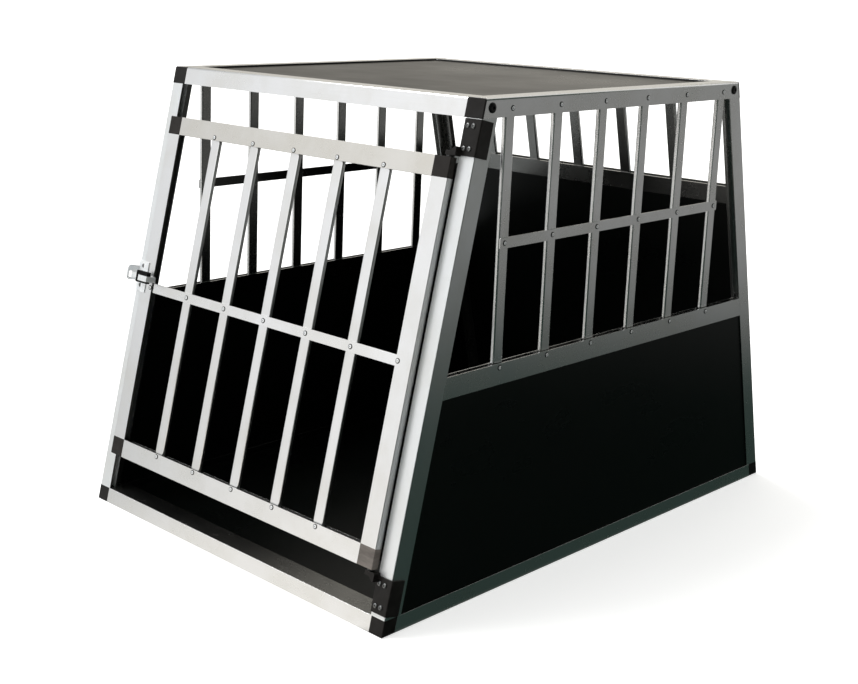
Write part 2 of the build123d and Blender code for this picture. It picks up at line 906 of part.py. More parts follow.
def make_hinge_washers():
    """Nylon washers that carry the door on the pins."""
    with BuildPart() as washers:
        for low in (door_bottom - bracket_gap + washer_play, door_top):
            with BuildSketch(across(front_face, low)):
                with Locations((hinge_x, -door_centre)):
                    Circle(washer_radius)
                    Circle(pin_radius + pin_running, mode=Mode.SUBTRACT)
            extrude(amount=bracket_gap - washer_play)
    return washers


# ---------------------------------------------------------------- latch
bolt_low = latch_rise - latch_height / 2
bolt_high = latch_rise + latch_height / 2
latch_front = latch_off + latch_thickness


def make_latch_keeper():
    """Plate on the left front post with a flange that the bolt passes through."""
    left = -half_width
    low = latch_rise - keeper_low
    with BuildPart() as keeper:
        with BuildSketch(front_face):
            with Locations((left + keeper_width / 2, low + keeper_length / 2)):
                RectangleRounded(keeper_width, keeper_length, keeper_round)
        extrude(amount=keeper_plate)
        with BuildSketch(along(front_face, left)) as flange:
            low_end = latch_rise - flange_low
            high_end = latch_rise + flange_high
            rect(-keeper_flange, -keeper_plate / 2, low_end, high_end)
            fillet(flange.vertices().group_by(Axis.X)[0], flange_round)
            rect(
                -latch_front - 2 * gap, -latch_off + 2 * gap,
                bolt_low - 2 * gap, bolt_high + 2 * gap, Mode.SUBTRACT,
            )
        extrude(amount=keeper_plate)
        drill(keeper_screw_planes, screw_radius + rivet_play, screw_length)
    return keeper


def make_latch_guide():
    """Plate on the left stile with a tunnel that carries the bolt."""
    left = -half_door + guide_inset
    right = -knob_left - guide_inset
    low = latch_rise - keeper_low
    with BuildPart() as guide:
        with BuildSketch(front_face.offset(door_front)):
            rect(left, right, low, low + keeper_length)
        extrude(amount=guide_plate)
        with BuildSketch(front_face.offset(door_front)):
            rect(left, right, bolt_low - guide_wall, bolt_high + guide_wall)
        extrude(amount=latch_front + guide_roof - door_front)
        with BuildSketch(front_face.offset(latch_off - gap)):
            rect(left - over, right + over, bolt_low - gap, bolt_high + gap)
        extrude(amount=latch_thickness + 2 * gap, mode=Mode.SUBTRACT)
    return guide


def make_latch_bolt():
    """Sliding bolt with its knob, cast in one piece."""
    with BuildPart() as bolt:
        with BuildSketch(front_face.offset(latch_off)):
            rect(-latch_tip, -knob_right, bolt_low, bolt_high)
        extrude(amount=latch_thickness)
        with BuildSketch(front_face.offset(latch_front + knob_gap)):
            rect(-knob_left, -knob_right, bolt_low, bolt_high)
        extrude(amount=knob_front - latch_front - knob_gap)
        with BuildSketch(front_face.offset(door_front + gap)):
            rect(-knob_right - knob_foot, -knob_right, bolt_low, bolt_high)
        extrude(amount=knob_front - door_front - gap)
    return bolt


def make_latch_grip():
    """Black grip moulded around three sides of the knob."""
    with BuildPart() as grip:
        with BuildSketch(front_face.offset(knob_front - grip_depth)) as profile:
            rect(-knob_left - grip_left, -knob_right, bolt_low - grip_below, bolt_high + grip_above)
            fillet(profile.vertices(), grip_round)
            rect(-knob_left, -knob_right + over, bolt_low, bolt_high, Mode.SUBTRACT)
        extrude(amount=grip_depth - gap)
    return grip


# ---------------------------------------------------------------- build and write every node
for end_name, end_face in ends.items():
    for side_name, side_sign in sides.items():
        save(make_base_corner(end_face, side_sign), f"base_corner_{end_name}_{side_name}")
        save(make_post(end_face, side_sign), f"post_{end_name}_{side_name}")
        save(make_top_cap(end_face, side_sign), f"top_cap_{end_name}_{side_name}")
    save(make_base_cross_rail(end_face, end_name == "rear"), f"base_{end_name}_rail")
    save(make_top_cross_rail(end_face), f"top_{end_name}_rail")

for side_name, side_sign in sides.items():
    save(make_base_side_rail(side_sign), f"base_{side_name}_rail")
    save(make_top_side_rail(side_sign), f"top_{side_name}_rail")
    save(make_side_mid_rail(side_sign), f"mid_{side_name}_rail")
    save(make_side_bars(side_sign), f"{side_name}_bars")
    save(make_side_strip(side_sign), f"{side_name}_strip")
    save(make_side_panel(side_sign), f"{side_name}_panel")
    save(make_door_stile(side_sign), f"door_{side_name}_stile")
    bottom_edges = (door_bottom, door_bottom + door_frame)
    top_edges = (door_top, door_top - door_frame)
    save(make_door_cap(side_sign, *bottom_edges), f"door_cap_bottom_{side_name}")
    save(make_door_cap(side_sign, *top_edges), f"door_cap_top_{side_name}")

save(make_rear_mid_rail(), "mid_rear_rail")
save(make_rear_bars(), "rear_bars")
save(make_rear_panel(), "rear_panel")
save(make_floor_panel(), "floor_panel")
save(make_roof_panel(), "roof_panel")
save(make_roof_seal(), "roof_seal")
save(make_post_joiners(), "post_joiners")
save(make_door_rail(door_bottom, door_bottom + door_frame), "door_bottom_rail")
save(make_door_rail(door_top, door_top - door_frame), "door_top_rail")
save(make_door_bars(), "door_bars")
save(make_door_strip(), "door_strip")
save(make_hinge_bracket(lower_bracket, door_bottom), "lower_hinge_bracket")
save(make_hinge_bracket(upper_bracket, door_top), "upper_hinge_bracket")
save(make_hinge_pins(), "hinge_pins")
save(make_hinge_washers(), "hinge_washers")
save(make_latch_keeper(), "latch_keeper")
save(make_latch_guide(), "latch_guide")
save(make_latch_bolt(), "latch_bolt")
save(make_latch_grip(), "latch_grip")

long_rivet = domed_pin(rivet_radius, rivet_long, rivet_head, rivet_rise)
short_rivet = domed_pin(rivet_radius, rivet_short, rivet_head, rivet_rise)
screw = domed_pin(screw_radius, screw_length, screw_head, screw_rise)
frame_bolt = domed_pin(bolt_radius, bolt_length, bolt_head, bolt_rise)
long_planes = side_rivet_planes[-1] + side_rivet_planes[1] + rear_rivet_planes
short_planes = strip_rivet_planes[-1] + strip_rivet_planes[1]
save(scatter([(long_rivet, long_planes), (short_rivet, short_planes)]), "frame_rivets")
door_long_planes = door_rivet_planes + door_strip_end_planes
save(
    scatter([(long_rivet, door_long_planes), (short_rivet, door_strip_planes)]), "door_rivets"
)
save(scatter([(screw, hinge_screw_planes)]), "hinge_screws")
save(scatter([(screw, keeper_screw_planes)]), "keeper_screws")
save(scatter([(frame_bolt, bolt_planes)]), "frame_bolts")
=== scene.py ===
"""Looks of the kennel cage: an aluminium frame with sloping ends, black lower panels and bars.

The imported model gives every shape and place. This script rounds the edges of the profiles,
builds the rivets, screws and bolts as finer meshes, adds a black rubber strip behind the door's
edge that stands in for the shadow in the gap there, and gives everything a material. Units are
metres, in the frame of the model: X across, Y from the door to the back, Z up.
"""

import json
from math import cos, pi, radians, sin

import bmesh
import bpy
from mathutils import Matrix, Vector


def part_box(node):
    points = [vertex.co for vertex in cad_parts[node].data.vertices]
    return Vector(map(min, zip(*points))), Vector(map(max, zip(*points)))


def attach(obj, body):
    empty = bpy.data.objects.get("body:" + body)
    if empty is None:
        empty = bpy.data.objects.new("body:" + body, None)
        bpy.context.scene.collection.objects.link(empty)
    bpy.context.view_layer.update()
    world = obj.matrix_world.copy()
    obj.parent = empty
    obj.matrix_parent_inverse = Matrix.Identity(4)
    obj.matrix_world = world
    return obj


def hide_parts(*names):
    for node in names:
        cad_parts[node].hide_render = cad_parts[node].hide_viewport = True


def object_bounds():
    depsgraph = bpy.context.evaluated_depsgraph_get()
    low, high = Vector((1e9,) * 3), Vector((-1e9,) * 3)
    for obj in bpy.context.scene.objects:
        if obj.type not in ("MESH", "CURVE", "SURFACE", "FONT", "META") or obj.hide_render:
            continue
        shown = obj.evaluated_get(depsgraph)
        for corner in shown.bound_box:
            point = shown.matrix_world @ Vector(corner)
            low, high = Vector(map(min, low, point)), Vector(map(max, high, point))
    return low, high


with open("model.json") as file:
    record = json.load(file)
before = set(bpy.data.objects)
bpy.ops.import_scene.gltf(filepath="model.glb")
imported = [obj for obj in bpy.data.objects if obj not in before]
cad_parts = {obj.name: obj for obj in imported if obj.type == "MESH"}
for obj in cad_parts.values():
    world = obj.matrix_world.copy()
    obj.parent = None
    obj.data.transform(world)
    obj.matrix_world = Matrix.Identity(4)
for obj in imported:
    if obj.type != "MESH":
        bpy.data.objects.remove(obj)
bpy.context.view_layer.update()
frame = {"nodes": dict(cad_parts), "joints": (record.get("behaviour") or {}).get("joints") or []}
nodes = frame["nodes"]
MM = 0.001

# ---------------------------------------------------------------- the lie of the cage
hinge = next(joint for joint in frame["joints"] if joint["name"] == "door_hinge")
front_up = Vector(hinge["axis"]).normalized()
front_out = Vector((0, -front_up.z, front_up.y))
bars_low, bars_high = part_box("rear_bars")
rear_out = Vector((0, bars_high.z - bars_low.z, bars_high.y - bars_low.y)).normalized()
front_tilt = radians(-12.9)
rear_tilt = radians(14.1)
side_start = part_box("top_right_rail")[0].x + 10 * MM  # what is further out is on a side


# ---------------------------------------------------------------- shader helpers
class Nodes:
    """A node tree under construction."""

    def __init__(self, tree):
        self.tree = tree

    def add(self, kind, inputs=None, **settings):
        node = self.tree.nodes.new(kind)
        for key, value in settings.items():
            setattr(node, key, value)
        for key, value in (inputs or {}).items():
            if isinstance(value, bpy.types.NodeSocket):
                self.tree.links.new(value, node.inputs[key])
            else:
                node.inputs[key].default_value = value
        return node

    def vector(self, operation, a, b):
        """The node for an operation on two vectors."""
        return self.add("ShaderNodeVectorMath", {0: a, 1: b}, operation=operation)

    def number(self, operation, a, b):
        """The result of an operation on two numbers."""
        return self.add("ShaderNodeMath", {0: a, 1: b}, operation=operation).outputs[0]

    def split(self, vector):
        """The X, Y and Z outputs of a vector, by name."""
        return self.add("ShaderNodeSeparateXYZ", {0: vector}).outputs

    def ramp(self, value, low, high, out_low, out_high):
        """Value mapped from low..high to out_low..out_high, and clamped."""
        inputs = {0: value, 1: low, 2: high, 3: out_low, 4: out_high}
        return self.add("ShaderNodeMapRange", inputs).outputs[0]

    def mix(self, factor, a, b, blend="MIX"):
        node = self.add("ShaderNodeMix", {0: factor}, data_type="RGBA", blend_type=blend)
        for index, colour in ((6, a), (7, b)):
            if isinstance(colour, bpy.types.NodeSocket):
                self.tree.links.new(colour, node.inputs[index])
            else:
                node.inputs[index].default_value = (*colour, 1)
        return node.outputs[2]

    def tone_curve(self, value, stops):
        """Colour ramp: each stop is a value from 0 to 1 and a colour."""
        node = self.add("ShaderNodeValToRGB", {0: value})
        elements = node.color_ramp.elements
        while len(elements) < len(stops):
            elements.new(0.5)
        for element, (place, colour) in zip(elements, stops):
            element.position = place
            element.color = (*colour, 1)
        return node.outputs[0]


class Shader(Nodes):
    """A material under construction: a Principled shader and the nodes that feed it."""

    def __init__(self, name, metallic=0.0, shine=0.5):
        self.material = bpy.data.materials.new(name)
        self.material.use_nodes = True
        super().__init__(self.material.node_tree)
        self.surface = self.tree.nodes["Principled BSDF"]
        self.surface.inputs["Metallic"].default_value = metallic
        self.surface.inputs["Specular IOR Level"].default_value = shine
        self.place = self.add("ShaderNodeTexCoord").outputs["Object"]

    def feed(self, key, socket):
        self.tree.links.new(socket, self.surface.inputs[key])

    def normal(self):
        """The direction that the surface itself faces, before any bump."""
        return self.add("ShaderNodeNewGeometry").outputs["True Normal"]

    def stretched(self, scale, tilt=0.0):
        """Coordinates turned about X by tilt, then scaled along each axis."""
        inputs = {"Vector": self.place, "Rotation": (tilt, 0, 0)}
        turned = self.add("ShaderNodeMapping", inputs).outputs[0]
        return self.vector("MULTIPLY", turned, scale).outputs[0]

    def noise(self, where, scale, detail=2.0, rough=0.5):
        inputs = {"Vector": where, "Scale": scale, "Detail": detail, "Roughness": rough}
        return self.add("ShaderNodeTexNoise", inputs).outputs["Fac"]

    def bump(self, height, strength, distance):
        inputs = {"Height": height, "Strength": strength, "Distance": distance}
        self.feed("Normal", self.add("ShaderNodeBump", inputs).outputs[0])

    def edges(self, radius):
        """1 on the sharp edges of a piece, falling to 0 within a radius of them."""
        soft = self.add("ShaderNodeBevel", {"Radius": radius}, samples=4).outputs[0]
        flat = self.add("ShaderNodeNewGeometry").outputs["Normal"]
        alike = self.vector("DOT_PRODUCT", soft, flat)
        return self.ramp(alike.outputs["Value"], 1.0, 0.8, 0.0, 1.0)

    def inner(self):
        """1 on faces that look into the cage, 0 on the others."""
        centre, half_size = (0, 0, 0.35), (0.32, 0.40, 0.35)
        middle = self.vector("SUBTRACT", self.place, centre).outputs[0]
        inverse = tuple(1 / half for half in half_size)
        scaled = self.vector("MULTIPLY", middle, inverse).outputs[0]
        square = self.vector("MULTIPLY", scaled, scaled).outputs[0]
        outwards = self.vector("MULTIPLY", square, scaled).outputs[0]
        facing = self.vector("DOT_PRODUCT", outwards, self.normal())
        return self.ramp(facing.outputs["Value"], -0.25, -0.45, 0.0, 1.0)


# ---------------------------------------------------------------- materials
def aluminium(
    name, along, tilt=0.0, tone=(0.83, 0.835, 0.84), grey=0.25, inner_shade_value=0.16, matt_front=False
):
    """Satin anodised extrusion: die lines along the profile, faint stains and handling marks.

    Faces that look into the cage carry painted shade: their colour is a flat grey of the given
    value.
    """
    shader = Shader(name, metallic=1.0)
    fine = [900.0] * 3
    fine["XYZ".index(along)] = 4.0
    lines = shader.noise(shader.stretched(fine, tilt), 1.0, 3.0, 0.6)
    stains = shader.noise(shader.place, 11.0, 5.0, 0.62)
    marks = shader.noise(shader.place, 160.0, 3.0, 0.7)

    stain_and_reflection_mask = shader.ramp(stains, 0.42, 0.68, 0.0, 1.0)
    darker = [channel * 0.94 * warmth for channel, warmth in zip(tone, (1, 0.99, 0.96))]
    stained = shader.mix(stain_and_reflection_mask, tone, darker)
    lined = shader.mix(shader.ramp(lines, 0.3, 0.7, 0.0, 0.05), stained, (0.5, 0.5, 0.5))
    # painted shade: a flat grey on the faces that look into the cage
    dull = (inner_shade_value, inner_shade_value, 0.97 * inner_shade_value)
    shader.feed("Base Color", shader.mix(shader.inner(), lined, dull))

    rough = shader.ramp(stains, 0.35, 0.7, grey - 0.02, grey + 0.04)
    scuffs = shader.ramp(marks, 0.55, 0.75, 0.0, 0.02)
    shader.feed("Roughness", shader.number("ADD", rough, scuffs))
    shader.bump(lines, 0.03, 0.0004)
    if matt_front:
        forwards = shader.split(shader.normal())["Y"]
        shader.feed("Metallic", shader.ramp(forwards, -0.9, -0.6, 0.6, 1.0))
    return shader.material


def moulded(name, tone, rough, reflection_strength=0.0, shine=0.2):
    """Fine-grained moulded plastic with lightened edges, partly from wear and partly a painted
    highlight, and a painted streaky grey reflection towards the cage's lower right.
    """
    shader = Shader(name, shine=shine)
    grain = shader.noise(shader.place, 1500.0, 2.0, 0.6)
    cloud = shader.noise(shader.place, 60.0, 4.0, 0.6)
    lighter_tone_and_edge_highlight = tuple(0.02 + channel for channel in tone)
    body = shader.mix(shader.ramp(cloud, 0.35, 0.7, 0.0, 0.35), tone, lighter_tone_and_edge_highlight)

    # painted reflection: streaky warm grey towards the cage's lower right, as strong as the given
    # value
    lower_right = shader.vector("DOT_PRODUCT", shader.place, (2.2, 0, -1.2))
    corner = shader.ramp(lower_right.outputs["Value"], 0.2, 0.5, 0.0, reflection_strength)
    streaks = shader.noise(shader.stretched((25, 25, 140)), 1.0, 4.0)
    stain_and_reflection_mask = shader.number("MULTIPLY", corner, shader.ramp(streaks, 0.3, 0.7, 0.5, 1.0))
    body = shader.mix(stain_and_reflection_mask, body, (0.27, 0.24, 0.215))

    # lightened edges: partly wear, partly a painted highlight
    shader.feed("Base Color", shader.mix(shader.edges(0.7 * MM), body, lighter_tone_and_edge_highlight))
    shader.feed("Roughness", shader.ramp(cloud, 0.3, 0.7, rough - 0.05, rough + 0.08))
    shader.bump(grain, 0.25, 0.0001)
    return shader.material


def board(name, tone, rough, shine, dusty):
    """Film-faced board: a slightly uneven sheen, a fine imprint and a little dust."""
    shader = Shader(name, shine=shine)
    film = shader.noise(shader.place, 420.0, 2.0, 0.5)
    smear = shader.noise(shader.stretched((3.0, 3.0, 7.0)), 1.0, 5.0, 0.6)
    specks = shader.noise(shader.place, 700.0, 1.0, 0.4)
    dust = shader.ramp(specks, 0.70, 0.78, 0.0, dusty)
    shader.feed("Base Color", shader.mix(dust, tone, (0.10, 0.10, 0.095)))
    shader.feed("Roughness", shader.ramp(smear, 0.3, 0.7, rough - 0.06, rough + 0.08))
    shader.bump(film, 0.18, 0.0003)
    return shader.material


def steel(name, tone, rough, metallic=1.0):
    """Plated or bare metal with a cloudy surface and lightened edges, partly from wear and partly a
    painted highlight.
    """
    shader = Shader(name, metallic=metallic)
    cloud = shader.noise(shader.place, 240.0, 4.0, 0.65)
    cool = [channel * factor for channel, factor in zip(tone, (0.86, 0.90, 0.95))]
    body = shader.mix(shader.ramp(cloud, 0.35, 0.65, 0.0, 1.0), tone, cool)
    bright = [min(1.0, channel * 1.15) for channel in tone]
    # lightened edges: partly wear, partly a painted highlight
    shader.feed("Base Color", shader.mix(shader.edges(0.4 * MM), body, bright))
    shader.feed("Roughness", shader.ramp(cloud, 0.3, 0.7, rough - 0.05, rough + 0.08))
    shader.bump(cloud, 0.06, 0.0002)
    return shader.material


def rubber(name):
    """Matt extruded rubber."""
    shader = Shader(name)
    grain = shader.noise(shader.place, 1100.0, 3.0, 0.7)
    shader.feed("Base Color", shader.mix(grain, (0.006, 0.006, 0.006), (0.016, 0.016, 0.015)))
    shader.feed("Roughness", shader.ramp(grain, 0.3, 0.7, 0.62, 0.8))
    shader.bump(grain, 0.3, 0.0001)
    return shader.material


def nylon(name):
    """Black nylon, polished a little by running."""
    shader = Shader(name)
    cloud = shader.noise(shader.place, 500.0, 3.0, 0.6)
    shader.feed("Base Color", shader.mix(cloud, (0.012, 0.012, 0.012), (0.03, 0.03, 0.029)))
    shader.feed("Roughness", shader.ramp(cloud, 0.3, 0.7, 0.36, 0.5))
    return shader.material


post_tone, door_top_tone = (0.80, 0.82, 0.83), (0.70, 0.685, 0.65)
materials = {
    # each aluminium below sets the grey of the painted shade on its faces into the cage
    "rail_x": aluminium("aluminium_across", "X", inner_shade_value=0.30),
    "rail_y": aluminium("aluminium_lengthwise", "Y", inner_shade_value=0.10),
    "upright": aluminium("aluminium_upright", "Z", inner_shade_value=0.4),
    "post": aluminium(
        "aluminium_front_post", "Z", front_tilt, post_tone, grey=0.34, matt_front=True
    ),
    "front": aluminium("aluminium_front_slope", "Z", front_tilt, grey=0.3),
    "rear": aluminium("aluminium_rear_slope", "Z", rear_tilt, inner_shade_value=0.34),
    "door_top": aluminium("aluminium_door_top", "X", tone=door_top_tone),
    "plastic": moulded("black_moulded_plastic", (0.0062, 0.0050, 0.0042), 0.36),
    "grip": moulded("black_grip_plastic", (0.003, 0.003, 0.003), 0.5, shine=0.06),
    # the door caps get the painted grey reflection towards the lower right
    "door_cap": moulded("black_door_cap_plastic", (0.012, 0.0095, 0.0078), 0.20, 0.75),
    "board": board("black_film_board", (0.0018, 0.0026, 0.0022), 0.30, 0.22, 0.04),
    "roof": board("roof_film_board", (0.020, 0.018, 0.015), 0.30, 0.10, 0.10),
    "rubber": rubber("seal_rubber"),
    "zinc": steel("zinc_plated_steel", (0.86, 0.86, 0.84), 0.34, 0.45),
    "bright_zinc": steel("bright_zinc_plate", (0.93, 0.93, 0.92), 0.36, 0.15),
    "rivet": steel("rivet_alloy", (0.92, 0.92, 0.90), 0.34, 0.7),
    # painted shade for the rims and holes of the rivets
    "painted_shade": steel("rivet_painted_shade", (0.06, 0.058, 0.055), 0.5),
    "black_steel": steel("blackened_steel", (0.035, 0.034, 0.033), 0.38),
    "screw": steel("dull_screw_steel", (0.22, 0.22, 0.215), 0.34),
    "nylon": nylon("black_nylon"),
}
# the first rule with a matching start of the node's name gives its material
finish_rules = (
    (("base_corner", "top_cap", "post_joiners", "upper_hinge", "lower_hinge"), "plastic"),
    (("door_cap",), "door_cap"),
    (("latch_grip",), "grip"),
    (("roof_panel",), "roof"),
    (("floor_panel", "left_panel", "right_panel", "rear_panel"), "board"),
    (("roof_seal",), "rubber"),
    (("hinge_washers",), "nylon"),
    (("latch_keeper", "latch_guide"), "bright_zinc"),
    (("hinge_pins", "latch_bolt"), "zinc"),
    (("post_front",), "post"),
    (("door_left", "door_right", "door_bars"), "front"),
    (("post_rear", "rear_bars"), "rear"),
    (("left_bars", "right_bars"), "upright"),
    (("base_front", "base_rear", "top_front", "top_rear", "mid_rear"), "rail_x"),
    (("door_top",), "door_top"),
    (("door_bottom", "door_strip"), "rail_x"),
    (("",), "rail_y"),
)


# ---------------------------------------------------------------- edges of the model's pieces
def soften(piece, width):
    """Merge the flat facets, then round every sharp edge by a small radius."""
    weld = piece.modifiers.new("weld", "WELD")
    weld.merge_threshold = 0.001 * MM
    flat = piece.modifiers.new("flat", "DECIMATE")
    flat.decimate_type = "DISSOLVE"
    flat.angle_limit = radians(0.5)
    bevel = piece.modifiers.new("bevel", "BEVEL")
    bevel.width = width
    bevel.segments = 2
    bevel.limit_method = "ANGLE"
    bevel.angle_limit = radians(35)
    bevel.harden_normals = True
    bevel.miter_outer = "MITER_ARC"


usual_edge = 0.35 * MM
edge_widths = {
    "plastic": 0.7 * MM,
    "door_cap": 0.5 * MM,
    "board": 0.3 * MM,
    "roof": 0.3 * MM,
    "rubber": 0.6 * MM,
    "zinc": 0.3 * MM,
    "nylon": 0.3 * MM,
}
for name, node in nodes.items():
    finish = next(finish for starts, finish in finish_rules if name.startswith(starts))
    node.data.materials.clear()
    node.data.materials.append(materials[finish])
    soften(node, edge_widths.get(finish, usual_edge))


# ---------------------------------------------------------------- mesh helpers
def as_mesh(built, name="shape"):
    """The mesh of a bmesh, which is freed."""
    data = bpy.data.meshes.new(name)
    built.to_mesh(data)
    built.free()
    return data


def placed(name, data):
    """A new object in the scene."""
    thing = bpy.data.objects.new(name, data)
    bpy.context.scene.collection.objects.link(thing)
    return thing


def bridged(mesh, low, high):
    """Close a prism between two rings of points: both ends and the sides."""
    mesh.faces.new(reversed(low))
    mesh.faces.new(high)
    for i in range(len(low)):
        j = (i + 1) % len(low)
        mesh.faces.new((low[i], low[j], high[j], high[i]))
    bmesh.ops.recalc_face_normals(mesh, faces=mesh.faces)
    return mesh


def prism(outline, low, high, taper=1.0):
    """Closed prism from a flat outline, scaled by taper at its lower end."""
    mesh = bmesh.new()
    bottom = [mesh.verts.new((x * taper, y * taper, low)) for x, y in outline]
    top = [mesh.verts.new((x, y, high)) for x, y in outline]
    return bridged(mesh, bottom, top)


def lathe(profile, segments, dark=()):
    """Closed mesh of revolution about z: the listed levels get the second material."""
    mesh = bmesh.new()
    turns = [2 * pi * i / segments for i in range(segments)]
    rings = []
    for radius, z in profile:
        if radius == 0:
            rings.append([mesh.verts.new((0, 0, z))])
        else:
            rings.append([mesh.verts.new((radius * cos(t), radius * sin(t), z)) for t in turns])
    for level, (low, high) in enumerate(zip(rings, rings[1:])):
        for i in range(segments):
            j = (i + 1) % segments
            if len(low) == 1:
                corners = (low[0], high[j], high[i])
            elif len(high) == 1:
                corners = (low[i], low[j], high[0])
            else:
                corners = (low[i], low[j], high[j], high[i])
            face = mesh.faces.new(corners)
            face.smooth = True
            face.material_index = int(level in dark)
    bmesh.ops.recalc_face_normals(mesh, faces=mesh.faces)
    return mesh


def cut(built, cutter):
    """The mesh that is left of one bmesh when another is taken out of it."""
    body, tool = [placed("cutting", as_mesh(source)) for source in (built, cutter)]
    modifier = body.modifiers.new("cut", "BOOLEAN")
    modifier.operation = "DIFFERENCE"
    modifier.solver = "EXACT"
    modifier.object = tool
    graph = bpy.context.evaluated_depsgraph_get()
    result = bpy.data.meshes.new_from_object(body.evaluated_get(graph))
    for thing in (body, tool):
        bpy.data.objects.remove(thing)
    return result


# ---------------------------------------------------------------- shapes of the fasteners
# Each is made from the radius of its head and its whole length, with z = 0 at its top.
def shank(radius, length, rise):
    """Points of a round shank, from its end up to the underside of the head."""
    return [(0, -length), (radius, -length), (radius, -rise)]


def dome(radius, rim, top, end, steps):
    """Points of a rounded head from its rim in to an angle: 90 degrees is its middle."""
    angles = [end * i / steps for i in range(steps + 1)]
    return [(radius * cos(a), rim + (top - rim) * sin(a)) for a in angles]


def rivet_mesh(radius, length):
    """Blind rivet: a domed head and the broken mandrel down in its hole, with painted shade in a
    dark second material on the rim of the head and down the hole.
    """
    rise = 1.1 * MM
    profile = shank(2.0 * MM, length, rise) + [(radius, -rise)]
    rim_start = len(profile) - 1
    profile += dome(radius, -0.85 * rise, 0.0, radians(78), 12)
    hole, lip = 0.2 * radius, profile[-1][1]
    profile += [(hole, lip - 0.02 * MM), (0.94 * hole, lip - 0.12 * MM)]
    hole_start = len(profile) - 1
    profile += [(0.9 * hole, lip - 0.62 * MM), (0.66 * hole, lip - 0.62 * MM)]
    profile += [(0.6 * hole, lip - 0.42 * MM), (0, lip - 0.36 * MM)]
    # painted shade: the outer levels of the dome and the hole take the dark second material
    dark = [*range(rim_start, rim_start + 8), *range(hole_start, len(profile))]
    return as_mesh(lathe(profile, 28, dark))


def screw_mesh(radius, length):
    """Pan head with a cross recess."""
    rise = 2.0 * MM
    profile = shank(1.7 * MM, length, rise) + [(radius - 0.1 * MM, -rise)]
    profile += dome(radius, -0.72 * rise, 0.0, radians(90), 10)[:-1] + [(0, 0)]
    arm, half = 0.56 * radius, 0.15 * radius
    quarter = [(arm, -half), (arm, half), (half, half)]
    cross = []
    for _ in range(4):
        cross += quarter
        quarter = [(-y, x) for x, y in quarter]
    return cut(lathe(profile, 36), prism(cross, -0.62 * rise, 0.2 * rise, 0.7))


def bolt_mesh(radius, length):
    """Button head with a hexagon socket."""
    rise = 2.2 * MM
    profile = shank(3.0 * MM, length, rise) + [(radius - 0.2 * MM, -rise)]
    profile += dome(radius, -0.66 * rise, 0.0, radians(90), 12)[:-1] + [(0, 0)]
    corners = [radians(60 * i) for i in range(6)]
    hexagon = [(0.42 * radius * cos(a), 0.42 * radius * sin(a)) for a in corners]
    return cut(lathe(profile, 40), prism(hexagon, -0.7 * rise, 0.2 * rise))


# ---------------------------------------------------------------- fasteners in place
def islands(name):
    """The separate solids of a model node, as lists of points, always in the same order."""
    mesh = bmesh.new()
    mesh.from_mesh(nodes[name].data)
    bmesh.ops.remove_doubles(mesh, verts=mesh.verts, dist=0.001 * MM)
    waiting = dict.fromkeys(mesh.verts)
    found = []
    while waiting:
        group = [next(iter(waiting))]
        del waiting[group[0]]
        for vert in group:
            for edge in vert.link_edges:
                other = edge.other_vert(vert)
                if other in waiting:
                    del waiting[other]
                    group.append(other)
        found.append([vert.co.copy() for vert in group])
    mesh.free()
    return found


def seat(points, out):
    """(place of a fastener with z outwards, radius of its head, its whole length)."""
    side = Vector((0, 0, 1)).cross(out).normalized()
    up = out.cross(side)
    (left, right), (low, high), (bottom, top) = [
        (min(spans), max(spans))
        for spans in ([point.dot(axis) for point in points] for axis in (side, up, out))
    ]
    origin = side * (left + right) / 2 + up * (low + high) / 2 + out * top
    turn = Matrix((side, up, out)).transposed().to_4x4()
    return Matrix.Translation(origin) @ turn, (right - left) / 2, round(top - bottom, 4)


# The direction that a fastener faces, from a point of it.
def to_front(point):
    return front_out


def to_side(point):
    return Vector((1 if point.x > 0 else -1, 0, 0))


def to_side_or_rear(point):
    return to_side(point) if abs(point.x) > side_start else rear_out


def fit_fasteners(name, body, shape, finishes, facing):
    """One piece in place of a model node, with a finer mesh at each of its solids."""
    whole = bmesh.new()
    made = {}
    for number, points in enumerate(islands(name)):
        place, radius, length = seat(points, facing(points[0]))
        if length not in made:
            made[length] = shape(radius, length)
        turned = Matrix.Rotation(number * 1.9, 4, "Z")
        part = made[length].copy()
        part.transform(place @ turned)
        whole.from_mesh(part)
        bpy.data.meshes.remove(part)
    data = as_mesh(whole, name + "_detail")
    for finish in finishes:
        data.materials.append(materials[finish])
    piece = placed(name + "_detail", data)
    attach(piece, body)
    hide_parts(name)


# the rivets' second material is painted shade on their rims and in their holes
fit_fasteners("frame_rivets", "frame", rivet_mesh, ("rivet", "painted_shade"), to_side_or_rear)
fit_fasteners("door_rivets", "door", rivet_mesh, ("rivet", "painted_shade"), to_front)
fit_fasteners("hinge_screws", "frame", screw_mesh, ("screw",), to_front)
fit_fasteners("keeper_screws", "frame", screw_mesh, ("screw",), to_front)
fit_fasteners("frame_bolts", "frame", bolt_mesh, ("black_steel",), to_side)


